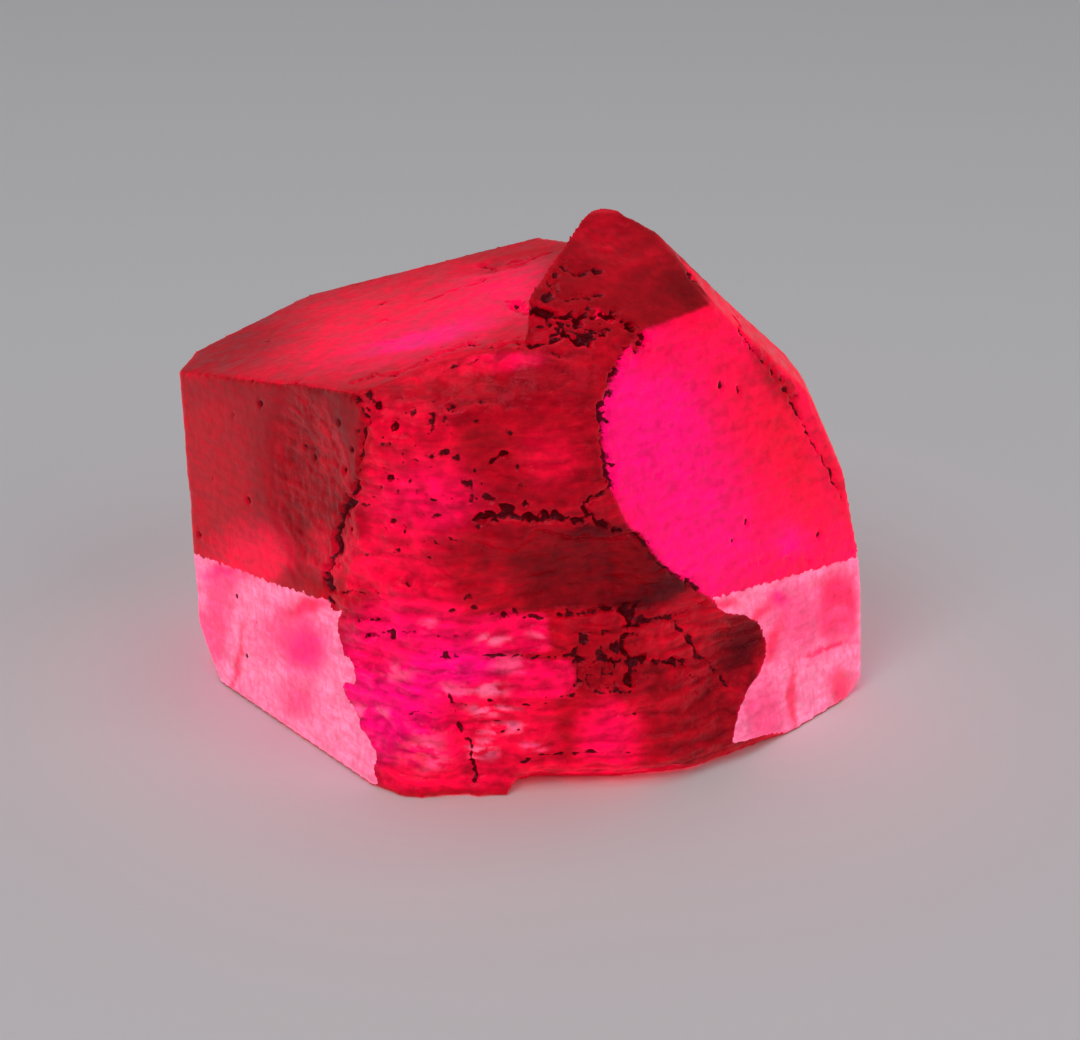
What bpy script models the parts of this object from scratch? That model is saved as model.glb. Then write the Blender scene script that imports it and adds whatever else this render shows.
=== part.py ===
"""A raw ruby crystal: a stout, roughly six-sided prism of corundum with a broken front.

One solid, in metres, +Z up, standing on its flat base with the origin at the middle of the base.
The broken front faces -Y. The flat growth faces are sliced from a block, the front is broken
away along an uneven fracture sheet, and the skin then gets its cracks, scars, pits and chips.
"""

from math import cos, pi, radians, sin, sqrt

import bmesh
import bpy
import numpy as np
from mathutils import Matrix, Vector, noise

NAME = "ruby_crystal"
MM = 0.001

# The crystal is laid out in millimetres around this point inside it
MIDDLE = Vector((0.0, 0.0, 8.5))
BLOCK = 60.0

# Growth faces: azimuth from -Y towards +X, lean above the horizon, distance from MIDDLE
SIDE_FACES = {
    "left prism": (-53, 0, 10.95),
    "left corner": (-97.5, -2, 14.85),
    "left heel": (-77, -17, 15.16),
    "back left": (-128, 0, 14.36),
    "back": (180, 3, 10.70),
    "back right": (130, 5, 11.25),
    "right corner": (92, 0, 14.55),
    "right heel": (70, -35, 16.0),
    "right prism": (50, 12, 9.73),
    "right pyramid low": (90, 11, 13.68),
    "right pyramid": (92, 24, 12.83),
    "right pyramid high": (92, 42, 12.06),
}
TOP_FACES = {
    "top left": (-103, 75, 9.06),
    "top right": (130, 50, 11.2),
    "peak": (50, 52, 12.53),
}
PEAK_FACES = {
    "peak": (50, 52, 12.53),
    "peak back": (150, 41.5, 9.43),
    "peak side": (-110, 4, -2.03),
    "peak tip": (156, 82, 13.12),
}

# Where the broken front lies: points (x, y, z) that the two fracture sheets pass through
UPPER_FRONT = (
    (-6.7, -9.3, 17.1), (-4.9, -8.5, 17.3), (-3.4, -7.0, 17.6), (-1.8, -7.4, 18.0),
    (-0.3, -8.4, 18.4), (1.2, -8.0, 19.0), (3.1, -7.1, 19.0), (4.6, -6.8, 18.1),
    (-6.4, -9.7, 15.0), (-4.5, -9.6, 16.6), (-3.0, -9.3, 16.9), (-1.5, -9.3, 17.2),
    (0.0, -9.6, 17.4), (1.5, -9.3, 17.7), (3.0, -9.2, 16.8), (2.9, -9.6, 16.0),
    (-2.0, -10.1, 14.5), (0.5, -10.3, 15.5), (3.2, -9.9, 13.8), (-7.0, -8.9, 12.1),
    (-4.5, -9.9, 12.5), (-1.0, -10.4, 12.2), (2.0, -10.5, 12.0), (4.4, -9.6, 10.7),
)
LOWER_FRONT = (
    (-7.4, -8.4, 10.0), (-5.0, -9.6, 10.0), (-2.0, -10.0, 10.3), (1.0, -9.4, 10.3),
    (3.2, -8.7, 10.3), (4.6, -9.2, 10.6), (5.3, -8.8, 9.5), (7.0, -7.4, 7.8),
    (8.5, -6.1, 6.1), (3.0, -8.2, 8.6), (0.0, -9.1, 8.4), (-4.0, -9.8, 8.0),
    (-8.2, -7.3, 7.6), (-6.0, -9.0, 6.5), (-1.0, -9.6, 6.4), (3.0, -8.9, 6.4),
    (6.2, -7.4, 6.2), (8.6, -5.4, 4.5), (7.6, -6.3, 4.4), (10.4, -4.7, 3.5),
    (9.4, -6.3, 2.2), (6.0, -8.4, 3.6), (-7.9, -7.8, 3.3), (-3.5, -10.3, 3.0),
    (1.0, -10.0, 3.0), (7.6, -7.4, 2.4), (4.4, -9.5, 2.4), (9.1, -7.3, 0.3),
    (6.8, -9.0, 0.6), (2.0, -9.9, 0.5), (-2.0, -10.3, 0.5), (-5.5, -10.2, 0.8),
    (-7.6, -8.2, 0.4),
)
FRONT_CELL = 0.32  # spacing of the points on the fracture sheets
OVERHANG = 11.0  # height where the upper sheet overhangs the lower one
FOOT_END = -0.6  # left of here the base reaches forward as a foot, right of it the edge is lifted
EDGE_LIFT = 0.5

# Small shelves on the broken front: height, left end, right end, how far they stand out
SHELVES = (
    (7.1, -7.0, -3.6, 0.16), (5.6, -4.6, 1.6, 0.20), (4.1, -3.8, 1.6, 0.14), (6.9, 0.6, 5.6, 0.30),
    (4.2, 2.6, 5.4, 0.22), (2.4, -6.5, -1.4, 0.12), (8.9, -5.8, -2.0, 0.12), (13.9, -1.2, 2.6, 0.12),
)
# Pits on the broken front: x, z, radius
FRONT_PITS = (
    (-5.0, 15.6, 0.36), (-5.7, 16.3, 0.22), (-3.7, 16.0, 0.20), (-2.9, 16.2, 0.17),
    (-4.4, 16.2, 0.20), (-3.1, 15.5, 0.20), (-3.1, 14.4, 0.22), (-4.3, 14.2, 0.24),
    (-2.6, 14.1, 0.20), (-5.3, 13.3, 0.24), (-2.3, 12.9, 0.26), (-6.5, 12.4, 0.22),
    (-4.7, 11.8, 0.20), (-0.8, 14.6, 0.22), (-6.2, 7.3, 0.22), (-5.5, 7.3, 0.20),
    (-4.8, 6.8, 0.20), (4.0, 6.4, 0.30), (3.4, 5.1, 0.24), (4.7, 7.9, 0.24),
)
PEAK_PITS = (((6.7, -2.4, 19.2), 0.26), ((6.3, -1.7, 19.9), 0.16))

# Open cracks: half width and the points each runs through
CRACKS = {
    "crack under the peak": (0.26, (
        (-0.7, -1.3, 17.9), (0.2, -4.3, 18.3), (0.9, -5.9, 18.7), (1.5, -7.0, 19.0),
        (3.1, -7.0, 19.0), (3.9, -6.9, 18.6), (4.6, -6.8, 18.1), (4.1, -7.6, 17.6),
    )),
    "crack along the top": (0.18, (
        (-6.8, -9.1, 16.9), (-6.0, -8.6, 17.0), (-4.8, -8.3, 17.2), (-4.3, -7.1, 17.3),
        (-3.0, -6.8, 17.7), (-1.5, -7.3, 18.1), (-0.2, -8.3, 18.4),
    )),
    "groove on the right ridge": (0.13, (
        (9.6, -1.5, 15.7), (10.3, -1.2, 14.4), (10.9, -0.9, 13.1),
    )),
}
# Shallow shell-shaped scars: middle, azimuth and lean of the face, half width, half height, depth
SCARS = {
    "scar on the left face": ((-8.6, -6.7, 11.8), -53, 0, 3.4, 4.6, 0.32),
    "upper scar on the peak": ((3.3, -2.9, 20.9), 50, 52, 1.5, 0.8, 0.10),
    "lower scar on the peak": ((1.9, -5.6, 20.5), 50, 52, 1.5, 0.7, 0.10),
    "scar on the top": ((-1.0, 6.5, 17.3), -103, 75, 2.0, 3.8, 0.22),
    "scar on the back left face": ((-12.1, 7.8, 6.5), -128, 0, 2.4, 3.2, 0.35),
    "small scar on the back left face": ((-11.2, 8.95, 11.4), -128, 0, 1.2, 1.6, 0.20),
    "scar on the back face": ((2.4, 10.9, 5.2), 180, 3, 3.4, 2.2, 0.35),
    "scar on the back right face": ((10.4, 5.0, 9.0), 130, 5, 1.8, 3.4, 0.35),
}
SCAR_BALL = 4  # depth of the ball behind a scar, in scar depths
NOISE_SEED = 1  # fixes how cracks and scars wander


def direction(azimuth, lean):
    """Unit vector at an azimuth from -Y towards +X and a lean above the horizon, in degrees."""
    turn, climb = radians(azimuth), radians(lean)
    return Vector((sin(turn) * cos(climb), -cos(turn) * cos(climb), sin(climb)))


def clear_scene():
    for item in list(bpy.data.objects):
        bpy.data.objects.remove(item, do_unlink=True)


def new_collection(name):
    collection = bpy.data.collections.new(name)
    bpy.context.scene.collection.children.link(collection)
    return collection


def add_object(name, bm, collection):
    mesh = bpy.data.meshes.new(name)
    bm.to_mesh(mesh)
    bm.free()
    item = bpy.data.objects.new(name, mesh)
    collection.objects.link(item)
    return item


def slice_face(bm, azimuth, lean, reach):
    """Slice off what lies beyond one growth face and close the cut."""
    normal = direction(azimuth, lean)
    everything = bm.verts[:] + bm.edges[:] + bm.faces[:]
    cut = bmesh.ops.bisect_plane(
        bm, geom=everything, plane_co=MIDDLE + normal * reach, plane_no=normal, clear_outer=True
    )
    rim = [item for item in cut["geom_cut"] if isinstance(item, bmesh.types.BMEdge)]
    if rim:
        bmesh.ops.contextual_create(bm, geom=rim)


def faceted_block(name, faces, collection):
    """A block with its foot on the ground, sliced by growth faces."""
    bm = bmesh.new()
    bmesh.ops.create_cube(bm, size=BLOCK, matrix=Matrix.Translation((0, 0, BLOCK / 2)))
    for azimuth, lean, reach in faces:
        slice_face(bm, azimuth, lean, reach)
    bmesh.ops.recalc_face_normals(bm, faces=bm.faces[:])
    return add_object(name, bm, collection)


def combine(target, tool, operation):
    """Union with or cut by another solid."""
    step = target.modifiers.new(operation.lower(), "BOOLEAN")
    step.object = tool
    step.operation = operation
    step.solver = "EXACT"
    graph = bpy.context.evaluated_depsgraph_get()
    mesh = bpy.data.meshes.new_from_object(target.evaluated_get(graph))
    target.modifiers.clear()
    target.data = mesh
    tool.hide_render = True
    tool.display_type = "WIRE"


def plate_bend(distance):
    """Bending of a thin plate with distance from where it is held."""
    return distance**2 * np.log(distance + 1e-9)


class Sheet:
    """A smooth sheet y(x, z) through given points."""

    def __init__(self, points):
        points = np.array(points)
        self.held = points[:, [0, 2]]
        count = len(points)
        gaps = np.linalg.norm(self.held[:, None] - self.held[None], axis=2)
        plane = np.column_stack([np.ones(count), self.held])
        matrix = np.block([[plate_bend(gaps), plane], [plane.T, np.zeros((3, 3))]])
        self.weights = np.linalg.solve(matrix, np.append(points[:, 1], np.zeros(3)))

    def depth(self, x, z):
        gaps = np.hypot(x[:, None] - self.held[:, 0], z[:, None] - self.held[:, 1])
        flat = np.column_stack([np.ones(len(x)), x, z])
        return plate_bend(gaps) @ self.weights[:-3] + flat @ self.weights[-3:]


def grain(x, z, size, octaves):
    """Fractal roughness over the front, about -1 to 1."""
    return np.array([noise.fractal(Vector((a, 0, b)) / size, 1.0, 2.0, octaves) for a, b in zip(x, z)])


def chips(x, z, size):
    """Flat chips over the front: each has one depth of its own, 0 to 1."""
    return np.array([noise.cell(noise.voronoi(Vector((a, 0, b)) / size)[1][0] * 7) for a, b in zip(x, z)])


def climb(value, start, end):
    """Smooth step from 0 at start to 1 at end."""
    t = np.clip((value - start) / (end - start), 0, 1)
    return t * t * (3 - 2 * t)


def shelf(x, z, height, left, right, out):
    """A ledge that stands out below its height and dies away downwards and at both ends."""
    wander = height + 0.25 * grain(x, z * 0, 1.5, 2)
    below = climb(wander - z, -0.12, 0.12) * (1 - climb(wander - z, 0.3, 1.8))
    along = climb(x, left - 0.5, left + 0.5) * (1 - climb(x, right - 0.5, right + 0.5))
    return out * below * along


def front(x, z):
    """Depth y of the broken front at each (x, z)."""
    top = 17.5 + 0.26 * (x + 4.9)
    upper = Sheet(UPPER_FRONT).depth(x, np.minimum(z, top))
    lower = Sheet(LOWER_FRONT).depth(x, np.maximum(z, 0))
    jag = OVERHANG + 0.25 * np.sin(1.3 * x) + 0.5 * grain(x, z * 0, 1.2, 2)
    above = climb(z, jag - 0.2, jag + 0.2)
    y = lower * (1 - above) + upper * above
    rugged = 0.35 + 0.65 * (1 - climb(x + 0.25 * z, -2.5, 2.0))
    y += 0.10 * grain(x, z, 1.4, 4)
    y += 0.22 * rugged * chips(x, z, 1.0) - 0.1
    for height, left, right, out in SHELVES:
        y -= shelf(x, z, height, left, right, out)
    low = 1 - climb(z, EDGE_LIFT - 0.2, EDGE_LIFT + 0.2)
    foot = 1 - climb(x, FOOT_END - 0.2, FOOT_END + 0.2)
    return y - 0.3 * low * foot + 1.0 * low * (1 - foot)


def front_cutter(collection):
    """Everything in front of the fracture, as a closed solid."""
    left, right, bottom, top = -12.0, 14.0, -2.0, 26.0
    columns = round((right - left) / FRONT_CELL)
    rows = round((top - bottom) / FRONT_CELL)
    bm = bmesh.new()
    bmesh.ops.create_grid(bm, x_segments=columns, y_segments=rows, size=0.5)
    flat = np.array([vert.co[:2] for vert in bm.verts]) + 0.5
    x = left + flat[:, 0] * (right - left)
    z = bottom + flat[:, 1] * (top - bottom)
    for vert, place in zip(bm.verts, np.column_stack([x, front(x, z), z])):
        vert.co = place
    far = bmesh.ops.extrude_face_region(bm, geom=bm.faces[:], use_keep_orig=True)
    for item in far["geom"]:
        if isinstance(item, bmesh.types.BMVert):
            item.co.y = -BLOCK / 2
    bmesh.ops.recalc_face_normals(bm, faces=bm.faces[:])
    return add_object("front cutter", bm, collection)


def crack_cutter(name, half_width, points, collection):
    """A crooked tube along a crack, to be cut out of the skin."""
    curve = bpy.data.curves.new(name, "CURVE")
    curve.dimensions = "3D"
    curve.bevel_depth = half_width
    curve.bevel_resolution = 0
    curve.use_fill_caps = True
    line = curve.splines.new("POLY")
    route = []
    for start, end in zip(map(Vector, points), map(Vector, points[1:])):
        count = max(1, round((end - start).length / 0.45))
        route += [start.lerp(end, step / count) for step in range(count)]
    route.append(Vector(points[-1]))
    line.points.add(len(route) - 1)
    for point, place in zip(line.points, route):
        point.co = (*(place + 0.3 * noise.noise_vector(place * 1.7)), 1)
        point.radius = 1.0 + 0.6 * noise.noise(place * 2.3)
    drawn = bpy.data.objects.new(name, curve)
    bm = bmesh.new()
    bm.from_mesh(drawn.to_mesh())
    bpy.data.objects.remove(drawn)
    bmesh.ops.remove_doubles(bm, verts=bm.verts[:], dist=0.001)
    bmesh.ops.recalc_face_normals(bm, faces=bm.faces[:])
    return add_object(name, bm, collection)


def pit_cutter(name, place, radius, collection):
    bm = bmesh.new()
    turn = Matrix.Rotation(7 * radius * pi, 4, "X")
    bmesh.ops.create_icosphere(bm, subdivisions=1, radius=radius, matrix=Matrix.Translation(place) @ turn)
    return add_object(name, bm, collection)


def scar_cutter(name, middle, azimuth, lean, half_width, half_height, depth, collection):
    """A flattened ball, of which only the tip is pressed into a face."""
    normal = direction(azimuth, lean)
    across = normal.cross(Vector((0, 0, 1))).normalized()
    up = normal.cross(across)
    frame = Matrix((across, up, normal)).transposed().to_4x4()
    spread = 1 / sqrt(1 - (1 - 1 / SCAR_BALL) ** 2)
    size = Matrix.Diagonal((half_width * spread, half_height * spread, depth * SCAR_BALL, 1))
    centre = Vector(middle) + normal * depth * (SCAR_BALL - 1)
    bm = bmesh.new()
    place = Matrix.Translation(centre) @ frame @ size
    bmesh.ops.create_uvsphere(bm, u_segments=18, v_segments=14, radius=1.0, matrix=place)
    for vert in bm.verts:
        vert.co += 0.35 * depth * noise.noise_vector(vert.co * 0.8)
    return add_object(name, bm, collection)


def ruby():
    paint = bpy.data.materials.new("ruby")
    paint.use_nodes = True
    shader = paint.node_tree.nodes["Principled BSDF"]
    shader.inputs["Base Color"].default_value = (0.62, 0.0, 0.07, 1)
    shader.inputs["Roughness"].default_value = 0.35
    shader.inputs["Metallic"].default_value = 0.0
    return paint


def settle(crystal):
    """Put the middle of the base at the origin, in metres, and tidy the mesh."""
    mesh = crystal.data
    points = np.array([vert.co for vert in mesh.vertices])
    low, high = points.min(axis=0), points.max(axis=0)
    middle = Vector(((low[0] + high[0]) / 2, (low[1] + high[1]) / 2, low[2]))
    mesh.transform(Matrix.Scale(MM, 4) @ Matrix.Translation(-middle))
    bm = bmesh.new()
    bm.from_mesh(mesh)
    bmesh.ops.triangulate(bm, faces=bm.faces[:])
    bmesh.ops.recalc_face_normals(bm, faces=bm.faces[:])
    bm.to_mesh(mesh)
    bm.free()
    mesh.materials.clear()
    mesh.materials.append(ruby())


def main():
    clear_scene()
    noise.seed_set(NOISE_SEED)
    part = new_collection("Raw ruby crystal")
    cutters = new_collection("Cutters")
    sides = list(SIDE_FACES.values())
    crystal = faceted_block(NAME, sides + list(TOP_FACES.values()), part)
    tooth = faceted_block("tooth", sides + list(PEAK_FACES.values()), cutters)
    combine(crystal, tooth, "UNION")
    for name, scar in SCARS.items():
        combine(crystal, scar_cutter(name, *scar, cutters), "DIFFERENCE")
    combine(crystal, front_cutter(cutters), "DIFFERENCE")
    for name, (half_width, points) in CRACKS.items():
        combine(crystal, crack_cutter(name, half_width, points, cutters), "DIFFERENCE")
    x, z, radii = np.array(FRONT_PITS).T
    pits = [*zip(zip(x, front(x, z), z), radii), *PEAK_PITS]
    for number, (place, radius) in enumerate(pits, 1):
        combine(crystal, pit_cutter(f"pit {number}", place, radius, cutters), "DIFFERENCE")
    settle(crystal)


main()
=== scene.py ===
from math import cos, pi, radians, sin

import bmesh
import bpy
import numpy as np
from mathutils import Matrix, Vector, noise
from mathutils.bvhtree import BVHTree
from mathutils.kdtree import KDTree


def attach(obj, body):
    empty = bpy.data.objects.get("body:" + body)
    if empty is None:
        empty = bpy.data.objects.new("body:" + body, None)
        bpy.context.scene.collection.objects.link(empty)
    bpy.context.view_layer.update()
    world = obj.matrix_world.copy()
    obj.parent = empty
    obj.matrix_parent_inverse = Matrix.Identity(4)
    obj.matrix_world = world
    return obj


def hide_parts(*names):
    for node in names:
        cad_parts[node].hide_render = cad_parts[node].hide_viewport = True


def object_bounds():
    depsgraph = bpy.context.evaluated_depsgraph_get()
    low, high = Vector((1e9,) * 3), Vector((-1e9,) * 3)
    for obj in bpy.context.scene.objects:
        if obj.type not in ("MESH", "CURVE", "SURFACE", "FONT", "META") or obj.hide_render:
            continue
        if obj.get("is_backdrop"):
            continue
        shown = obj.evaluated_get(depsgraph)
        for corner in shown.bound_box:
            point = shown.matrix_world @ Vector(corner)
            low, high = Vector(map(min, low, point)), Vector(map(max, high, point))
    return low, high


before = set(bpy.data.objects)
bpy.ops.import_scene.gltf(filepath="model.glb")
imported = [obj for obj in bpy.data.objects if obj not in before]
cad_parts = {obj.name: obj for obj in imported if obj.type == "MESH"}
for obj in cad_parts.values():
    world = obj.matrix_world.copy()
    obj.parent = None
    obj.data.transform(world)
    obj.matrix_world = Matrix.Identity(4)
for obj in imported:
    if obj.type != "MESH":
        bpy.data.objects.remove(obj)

CAD_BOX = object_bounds()
MM = 0.001
NODE = "ruby_crystal"

# The photo's camera: 85 mm lens, 22 degrees above the horizon, straight on
PHOTO_SIZE = (1080, 1040)
LENS_MM = 85.0
SENSOR_MM = 36.0
CAMERA_RISE = 22.0
CAMERA_DISTANCE = 112.5 * MM
CAMERA_TARGET = Vector((0.69, 2.48, 6.6)) * MM
PIXELS_PER_MM = PHOTO_SIZE[0] * LENS_MM / SENSOR_MM / (CAMERA_DISTANCE / MM)

# The growth faces, laid out in millimetres from a point inside the crystal:
# azimuth from -Y towards +X, lean above the horizon, distance
MIDDLE = np.array((0.19, -0.12, 8.5))
FACES = {
    "left": (-53, 0, 10.95),
    "left corner": (-97.5, -2, 14.85),
    "left heel": (-77, -17, 15.16),
    "right": (50, 12, 9.73),
    "right low": (90, 11, 13.68),
    "right middle": (92, 24, 12.83),
    "right high": (92, 42, 12.06),
    "right corner": (92, 0, 14.55),
    "right heel": (70, -35, 16.0),
    "top": (-103, 75, 9.06),
    "top right": (130, 50, 11.2),
    "peak": (50, 52, 12.53),
    "peak back": (150, 41.5, 9.43),
    "peak side": (-110, 4, -2.03),
    "peak tip": (156, 82, 13.12),
    "back left": (-128, 0, 14.36),
    "back": (180, 3, 10.70),
    "back right": (130, 5, 11.25),
}
CLEAR_OF_BASE = 0.3  # relief in mm fades out this far above the base
NOISE_SEED = 1  # fixes how cracks and pits wander
SHARP_EDGE = 14  # two growth faces that meet at more degrees than this have an edge that wears and is painted lighter
EDGE_WEAR_AND_LIGHT = (0.02, 0.34)  # distance in mm from such an edge where the wear and its painted light begin to fade, and end
FAINT_CRACK = 0.14  # cracks less deep than this, in mm, also get less painted shade

SKIN_VOXEL = 0.125 * MM
SKIN_FACES = 192_000  # triangles left after thinning out the flat faces

# What follows is placed where the photo shows it, in the photo's pixels

# Cracks: half width in pixels, depth in mm, and the line
CRACKS_SEEN = (
    (4.5, 0.45, ((508, 301), (517, 305), (532, 312), (547, 317), (569, 317), (590, 315), (612, 317))),
    (4.0, 0.45, ((612, 317), (624, 322), (636, 330), (647, 340), (640, 346))),
    (3.2, 0.40, ((640, 340), (633, 347), (623, 353), (619, 368), (614, 375), (611, 384))),
    (3.4, 0.30, ((606, 391), (604, 402), (600, 414), (602, 429), (604, 446), (608, 465), (612, 492))),
    (4.2, 0.40, ((562, 333), (572, 337), (583, 340), (592, 343))),
    (2.0, 0.25, ((552, 330), (566, 326), (584, 326), (600, 332), (610, 328))),
    (2.4, 0.30, (
        (352, 383), (372, 375), (399, 374), (420, 364), (435, 355), (456, 349), (467, 343),
        (482, 346), (498, 347), (513, 341), (530, 345), (549, 341), (562, 338),
    )),
    (1.3, 0.15, ((440, 372), (452, 366), (462, 362), (484, 360))),
    (2.4, 0.25, ((488, 500), (498, 503), (509, 509), (519, 507), (530, 506))),
    (3.8, 0.35, ((473, 521), (486, 517), (509, 515), (530, 519), (551, 517), (572, 520), (597, 520))),
    (2.6, 0.30, ((612, 492), (597, 496), (588, 503), (583, 508), (597, 520), (610, 529), (629, 533))),
    (2.6, 0.25, ((629, 533), (641, 543), (652, 560), (668, 572), (684, 580), (700, 591))),
    (2.2, 0.30, ((493, 466), (498, 457), (508, 451))),
    (1.6, 0.25, ((477, 543), (481, 549), (484, 554))),
    (1.4, 0.20, ((404, 527), (407, 536))),
    (2.6, 0.25, ((351, 393), (360, 405), (368, 420), (362, 435), (362, 456), (358, 466))),
    (3.4, 0.30, ((358, 466), (354, 490), (347, 504), (340, 530), (337, 548), (330, 568), (326, 584))),
    (1.8, 0.20, ((326, 590), (340, 594), (352, 590), (366, 594))),
    (1.6, 0.15, ((426, 302), (450, 292), (489, 279), (497, 268), (516, 262), (531, 258))),
    (2.2, 0.20, ((471, 263), (489, 268), (505, 268), (517, 266), (534, 258), (552, 252))),
    (1.0, 0.08, ((369, 324), (382, 321), (398, 323))),
    (1.0, 0.08, ((373, 343), (390, 341), (405, 344))),
    (2.6, 0.20, ((559, 264), (566, 271), (576, 274), (590, 270), (601, 271))),
    (2.4, 0.20, ((550, 281), (559, 288), (557, 296), (545, 302))),
    (2.2, 0.18, ((682, 262), (688, 268), (692, 275))),
    (2.4, 0.22, ((735, 316), (749, 343), (766, 365), (784, 385), (795, 408))),
    (1.6, 0.14, ((795, 408), (812, 440), (828, 470), (843, 497))),
    (1.2, 0.06, ((743, 568), (757, 561), (772, 557), (784, 558), (807, 559), (838, 561))),
    (1.0, 0.05, ((649, 477), (658, 472), (669, 468))),
    (1.6, 0.20, ((490, 616), (521, 617), (544, 616), (565, 615), (588, 613), (609, 606), (635, 604))),
    (1.2, 0.16, ((433, 657), (453, 657), (477, 655), (506, 657), (535, 656), (553, 656))),
    (2.6, 0.25, ((553, 655), (565, 657), (588, 661), (617, 662), (650, 661), (688, 663))),
    (3.4, 0.30, ((640, 603), (628, 617), (634, 628), (622, 640), (625, 655), (632, 668), (629, 684))),
    (2.0, 0.20, ((573, 689), (579, 677), (574, 657), (582, 641), (580, 630))),
    (1.2, 0.12, ((547, 696), (570, 695), (594, 693), (632, 694))),
    (1.8, 0.20, ((450, 695), (459, 724), (466, 738), (472, 745), (474, 782))),
    (2.4, 0.20, ((623, 627), (650, 622), (676, 616), (700, 606), (712, 600))),
    (1.8, 0.15, ((667, 620), (685, 633), (697, 651), (714, 668), (729, 686))),
    (1.6, 0.20, ((359, 621), (372, 620), (389, 617))),
    (1.8, 0.20, ((362, 639), (378, 636), (392, 632), (415, 631))),
    (1.3, 0.15, ((438, 639), (452, 640), (468, 639))),
    (1.0, 0.12, ((372, 592), (384, 600), (393, 608))),
    (1.0, 0.10, ((400, 715), (430, 712), (462, 716), (500, 722), (545, 720))),
    (1.0, 0.10, ((455, 706), (490, 700), (520, 704), (552, 706))),
    (1.4, 0.12, ((510, 768), (535, 757), (580, 753), (640, 752))),
    (1.0, 0.14, ((577, 630), (596, 632), (622, 630), (640, 629))),
    (1.0, 0.12, ((582, 641), (604, 642), (624, 645))),
    (1.0, 0.12, ((580, 673), (601, 675), (625, 672), (650, 674))),
    (1.2, 0.14, ((576, 688), (600, 691), (622, 690), (640, 692))),
    (1.0, 0.12, ((590, 664), (586, 676), (592, 690))),
    (1.0, 0.12, ((603, 630), (600, 645), (606, 660), (602, 676), (607, 690))),
    (1.2, 0.14, ((614, 640), (617, 655), (613, 672), (619, 688))),
    (0.9, 0.10, ((642, 675), (690, 676), (728, 677))),
    (0.9, 0.10, ((646, 690), (690, 692), (730, 690))),
    (0.9, 0.08, ((585, 714), (640, 713), (690, 716))),
    (0.9, 0.08, ((456, 703), (480, 705), (519, 704))),
    (0.9, 0.08, ((462, 718), (490, 719), (520, 718))),
    (1.0, 0.10, ((468, 732), (495, 733), (522, 731))),
    (2.4, 0.22, ((545, 300), (553, 290), (549, 280), (560, 272))),
    (2.0, 0.20, ((566, 300), (580, 296), (592, 299), (604, 294))),
    (2.2, 0.22, ((535, 330), (548, 326), (566, 324), (584, 322))),
    (2.6, 0.25, ((548, 336), (560, 331), (577, 333), (596, 337), (606, 334))),
    (4.0, 0.30, ((352, 500), (343, 512), (338, 532), (336, 548))),
    (4.5, 0.30, ((333, 560), (327, 572), (329, 584), (336, 592))),
)

# Pits: place and radius in pixels
PITS_SEEN = (
    (378, 405, 4), (395, 426, 5), (450, 406, 4), (431, 415, 4), (445, 420, 4), (429, 422, 4),
    (431, 432, 3), (454, 434, 3), (446, 454, 5), (457, 458, 4), (414, 459, 4), (431, 456, 4),
    (474, 471, 3), (466, 485, 5), (390, 478, 6), (488, 498, 5), (471, 498, 4), (393, 521, 4),
    (437, 516, 4), (510, 433, 3), (516, 466, 3), (521, 487, 4), (482, 402, 3), (557, 354, 4),
    (370, 395, 4), (412, 414, 4), (357, 487, 4), (380, 489, 3), (348, 503, 8), (338, 545, 9),
    (328, 579, 8), (297, 382, 4), (234, 414, 3), (306, 445, 3), (314, 457, 3), (338, 422, 4),
    (237, 597, 3), (246, 656, 3), (692, 277, 7), (720, 386, 3), (738, 391, 3), (746, 522, 3),
    (733, 542, 3), (818, 534, 3), (408, 582, 4), (470, 598, 4), (474, 608, 4), (453, 612, 3),
    (515, 612, 4), (392, 634, 4), (358, 621, 3), (446, 655, 4), (585, 640, 5), (600, 655, 5),
    (624, 610, 6), (640, 620, 5), (616, 648, 6), (634, 662, 5), (628, 676, 4), (568, 612, 4),
    (330, 600, 5), (345, 470, 4), (352, 450, 4), (341, 515, 5), (610, 392, 4), (606, 420, 3),
)
# Where the right growth face ends against the broken front
RIGHT_BORDER = (
    (643, 339), (626, 352), (616, 378), (606, 391), (602, 412), (606, 451), (612, 488),
    (629, 525), (654, 560), (696, 588), (716, 602),
)
PITTED = (350, 490, 395, 560)  # left, right, top and bottom of the part full of small pits
SMALL_PITS = 90
ROUGHEST_PATCH = (400, 470, 85, 110)  # middle, half width and half height
SMOOTHER_PATCH = (545, 430, 70, 80)
LAYERED_ROWS = (570, 620)  # where the thin layers begin to show going down, and where they are full

# The hidden sides: cracks as half width and depth in mm, and a line of azimuths and heights
CRACKS_BEHIND = (
    (0.06, 0.20, ((110, 12.6), (120, 12.2), (134, 12.5), (150, 11.9), (171, 12.2))),
    (0.09, 0.28, ((171, 12.2), (174, 9.5), (170, 7.4), (177, 5.0), (176, 2.2))),
    (0.05, 0.15, ((177, 6.1), (190, 6.4), (206, 5.9), (224, 6.3))),
    (0.04, 0.12, ((196, 9.8), (215, 10.1), (236, 9.6), (255, 9.9))),
    (0.05, 0.14, ((128, 4.2), (143, 4.0), (158, 4.4))),
    (0.06, 0.20, ((236, 9.6), (240, 7.7), (238, 5.2), (242, 3.0))),
)
PITS_BEHIND = 60
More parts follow.
